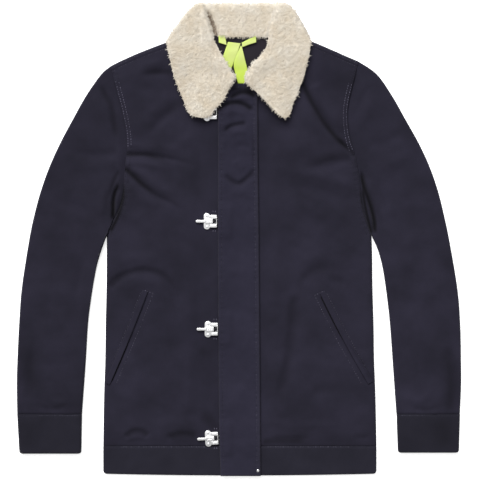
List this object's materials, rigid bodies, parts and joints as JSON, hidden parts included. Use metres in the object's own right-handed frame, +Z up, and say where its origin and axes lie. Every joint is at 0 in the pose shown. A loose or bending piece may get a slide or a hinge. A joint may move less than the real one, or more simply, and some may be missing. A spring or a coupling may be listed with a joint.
{
  "type": "deck jacket, laid flat",
  "caption": "Hip-length navy twill deck jacket laid flat, with a folded sheepskin collar, a covered front closed by metal clasps, slanted pockets and turned cuffs",
  "frame": {"origin": "on the surface that the jacket lies on, under the middle of its bounding box", "axes": "+Y from the hem to the collar, +X to the wearer's left, +Z up from the surface"},
  "size_m": [0.7624, 0.8094, 0.0272],
  "materials": {
    "cloth": "matte navy cotton twill",
    "trim_cloth": "matte navy cotton twill, doubled",
    "sheepskin": "short curly cream wool",
    "hanger_tape": "woven fluorescent yellow tape",
    "clasp_metal": "bright polished nickel"
  },
  "bodies": {
    "root": {"back": "cloth", "front_right": "cloth", "front_left": "cloth", "sleeve_right": "cloth", "sleeve_left": "cloth", "flap": "cloth", "hem_back": "trim_cloth", "hem_front_right": "trim_cloth", "hem_front_left": "trim_cloth", "cuff_right": "trim_cloth", "cuff_left": "trim_cloth", "pocket_welt_right": "trim_cloth", "pocket_welt_left": "trim_cloth", "collar": "sheepskin", "hanger_end_right": "hanger_tape", "hanger_end_left": "hanger_tape", "hanger_leg_right": "hanger_tape", "hanger_leg_left": "hanger_tape", "clasp_plate_1": "clasp_metal", "clasp_lever_1": "clasp_metal", "clasp_wire_1": "clasp_metal", "clasp_plate_2": "clasp_metal", "clasp_lever_2": "clasp_metal", "clasp_wire_2": "clasp_metal", "clasp_plate_3": "clasp_metal", "clasp_lever_3": "clasp_metal", "clasp_wire_3": "clasp_metal", "clasp_plate_4": "clasp_metal", "clasp_lever_4": "clasp_metal", "clasp_wire_4": "clasp_metal", "hem_snap": "clasp_metal"}
  },
  "joints": []
}
